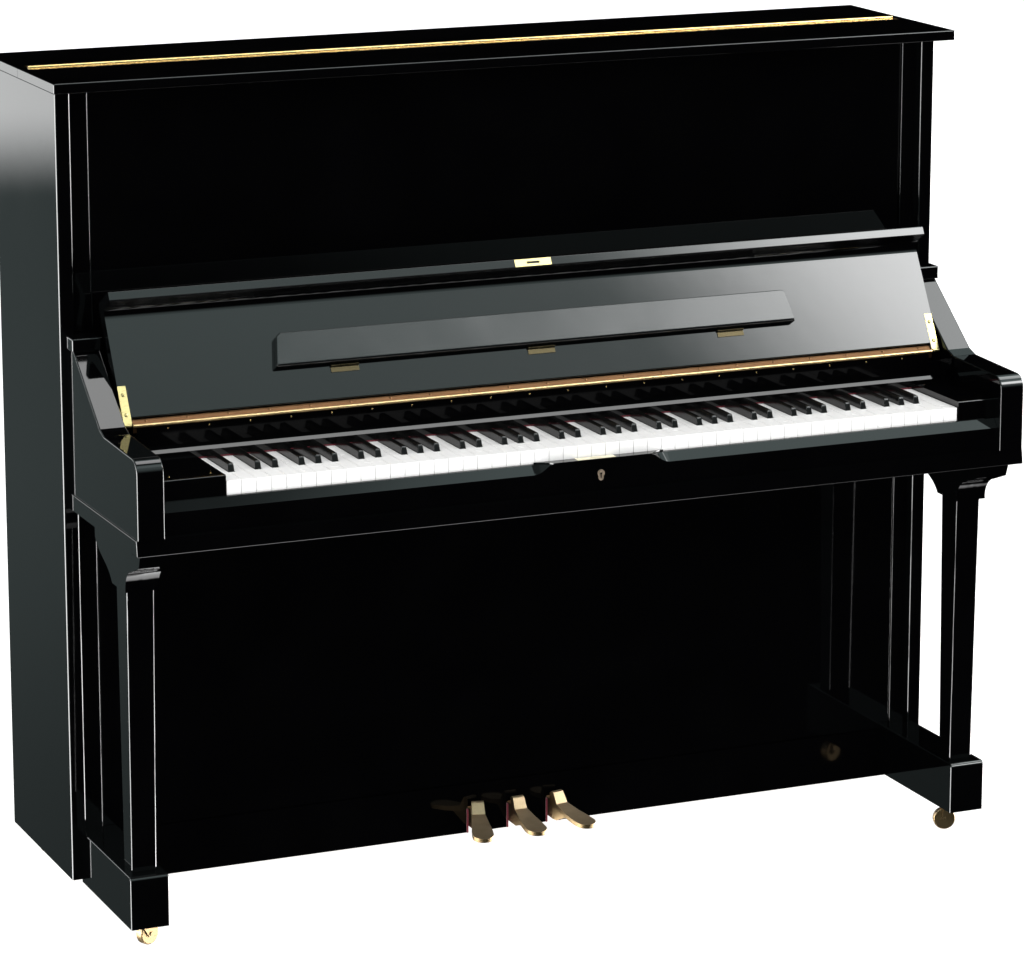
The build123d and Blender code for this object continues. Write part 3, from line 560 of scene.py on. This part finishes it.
def camera():
    """The camera, in front of the case and to its left."""
    lens = bpy.data.cameras.new("camera")
    lens.lens = CAMERA_LENS
    lens.sensor_width = CAMERA_SENSOR
    lens.shift_y = CAMERA_SHIFT
    lens.clip_end = CAMERA_REACH
    eye = bpy.data.objects.new("camera", lens)
    eye.location = CAMERA_PLACE
    eye.rotation_euler = (math.radians(90 - CAMERA_PITCH), 0, math.radians(CAMERA_TURN))
    bpy.context.scene.collection.objects.link(eye)
    bpy.context.scene.camera = eye


# ---------------------------------------------------------------- fittings

def piece(name, shape, look, body):
    """A new object from a bmesh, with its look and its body."""
    bmesh.ops.recalc_face_normals(shape, faces=shape.faces)
    mesh = bpy.data.meshes.new(name)
    shape.to_mesh(mesh)
    shape.free()
    mesh.materials.append(look)
    made = bpy.data.objects.new(name, mesh)
    bpy.context.scene.collection.objects.link(made)
    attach(made, body)


def skin(shape, rings):
    """Faces between rings of points, with both ends closed."""
    loops = [[shape.verts.new(point) for point in ring] for ring in rings]
    for a, b in zip(loops, loops[1:]):
        for i in range(len(a)):
            j = (i + 1) % len(a)
            shape.faces.new((a[i], a[j], b[j], b[i]))
    shape.faces.new(loops[0][::-1])
    shape.faces.new(loops[-1])


def screw(shape, place, radius):
    """A domed screw head whose two halves leave a slot between them."""
    for turn in (0.0, math.pi):
        rings = []
        for share, height in SCREW_DOME:
            reach = radius * share
            first = math.asin(radius * SCREW_SLOT / reach)
            ring = []
            for i in range(SCREW_STEPS):
                angle = turn + first + (math.pi - 2 * first) * i / (SCREW_STEPS - 1)
                point = Vector((reach * math.cos(angle), reach * math.sin(angle), radius * height))
                ring.append(place @ point)
            rings.append(ring)
        skin(shape, rings)


def rod(shape, a, b, radius, sides=8):
    """A straight round rod between two points."""
    a, b = Vector(a), Vector(b)
    turn = (b - a).to_track_quat("Z", "Y").to_matrix()
    angles = [2 * math.pi * i / sides for i in range(sides)]
    circle = [turn @ Vector((radius * math.cos(t), radius * math.sin(t), 0)) for t in angles]
    skin(shape, [[end + point for point in circle] for end in (a, b)])


def slab(shape, outline, x0, x1):
    """A flat outline of (y, z) points carried from x0 to x1."""
    skin(shape, [[Vector((x, y, z)) for y, z in outline] for x in (x0, x1)])


def on_fallboard(along, out, x, tilt=0.0):
    """A place on the open fallboard, with z out of its face."""
    axis = Matrix.Translation(joint_place("fallboard_hinge"))
    lean = Matrix.Rotation(math.radians(90 - FALL_LEAN - tilt), 4, "X")
    return axis @ lean @ Matrix.Translation((x, along, out))


def screw_row():
    """Where the screws of one hinge row lie along x."""
    return [(i - (SCREW_COUNT - 1) / 2) * SCREW_PITCH for i in range(SCREW_COUNT)]


def fallboard_screws(special):
    """Heads along the hinge leaf, and two in each end strap."""
    leaf = bmesh.new()
    for x in screw_row():
        screw(leaf, on_fallboard(LEAF_SCREW_ALONG, LEAF_SCREW_OUT, x, LEAF_TILT), LEAF_SCREW_R)
    # The leaf's screws share its painted dark reflection.
    piece("hinge_screws", leaf, special["fallboard_hinge_moving"], "fallboard")
    straps = bmesh.new()
    low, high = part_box("fallboard_fittings")
    for x in (low[0] + STRAP_SCREW_INSET, high[0] - STRAP_SCREW_INSET):
        for along in STRAP_SCREW_ALONG:
            screw(straps, on_fallboard(along, STRAP_SCREW_OUT, x), STRAP_SCREW_R)
    piece("strap_screws", straps, special["fallboard_fittings"], "fallboard")


def nameboard_screws(looks):
    """Small heads along the nameboard's face, just under the hinge."""
    low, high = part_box("nameboard")
    height = high[2] - NAMEBOARD_SCREW_DROP
    face = Matrix.Rotation(math.radians(90), 4, "X")
    front = joint_place("fallboard_hinge").y
    shape = bmesh.new()
    for x in screw_row():
        x += SCREW_PITCH / 2
        if low[0] < x < high[0]:
            screw(shape, Matrix.Translation((x, front, height)) @ face, NAMEBOARD_SCREW_R)
    piece("nameboard_screws", shape, looks["brass"], "case")


def note_places(low, high):
    """Where each note's hammer lies along x, between the outer strings."""
    first, last = low + OUTER_NOTE_INSET, high - OUTER_NOTE_INSET
    return [first + (last - first) * i / (NOTES - 1) for i in range(NOTES)]


def hammers(places, tip, looks, cream):
    """A felt head, a round shank and a butt for each note, with the striking tips at that y."""
    heads, shanks = bmesh.new(), bmesh.new()
    butt = [(tip + y, z) for y, z in BUTT]
    for i, x in enumerate(places):
        size = 1.0 - TREBLE_SHRINK * i / NOTES
        head = [(tip + y * size, STRIKE_HEIGHT + z * size) for y, z in HAMMER_HEAD]
        slab(heads, head, x - HAMMER_HALF, x + HAMMER_HALF)
        rod(shanks, *[(x, tip + y, z) for y, z in SHANK], SHANK_R)
        slab(shanks, butt, x - BUTT_HALF, x + BUTT_HALF)
    piece("hammer_heads", heads, cream, "case")
    piece("hammer_shanks", shanks, looks["spruce"], "case")


def dampers(places, strike, looks, cream):
    """A felt pad and its wire for each note that has a damper, with the strings at that y."""
    pads, wires = bmesh.new(), bmesh.new()
    pad = [(strike + y, z) for y, z in DAMPER]
    for x in places[:DAMPED_NOTES]:
        slab(pads, pad, x - DAMPER_HALF, x + DAMPER_HALF)
        rod(wires, *[(x, strike + y, z) for y, z in WIRE], WIRE_R, sides=6)
    piece("dampers", pads, cream, "case")
    piece("damper_wires", wires, looks["steel"], "case")


def action(looks):
    """Hammers, dampers and their rails behind the upper panel, which don't move."""
    low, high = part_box("strings")
    places = note_places(low[0], high[0])
    cream = felt("hammer_felt", (0.62, 0.58, 0.50), (0.80, 0.77, 0.70))
    hammers(places, low[1] - HAMMER_GAP, looks, cream)
    dampers(places, low[1], looks, cream)
    rails = bmesh.new()
    for y, z, deep, tall in ACTION_RAILS:
        outline = [(y, z), (y + deep, z), (y + deep, z + tall), (y, z + tall)]
        slab(rails, outline, low[0] - RAIL_OVERHANG, high[0] + RAIL_OVERHANG)
    piece("action_rails", rails, looks["beech"], "case")


camera()
studio_world()
studio_floor()
bpy.context.scene.view_settings.view_transform = "Standard"
LOOKS = finishes()
SPECIAL = special_finishes()
dress(LOOKS, SPECIAL)
fallboard_screws(SPECIAL)
nameboard_screws(LOOKS)
action(LOOKS)
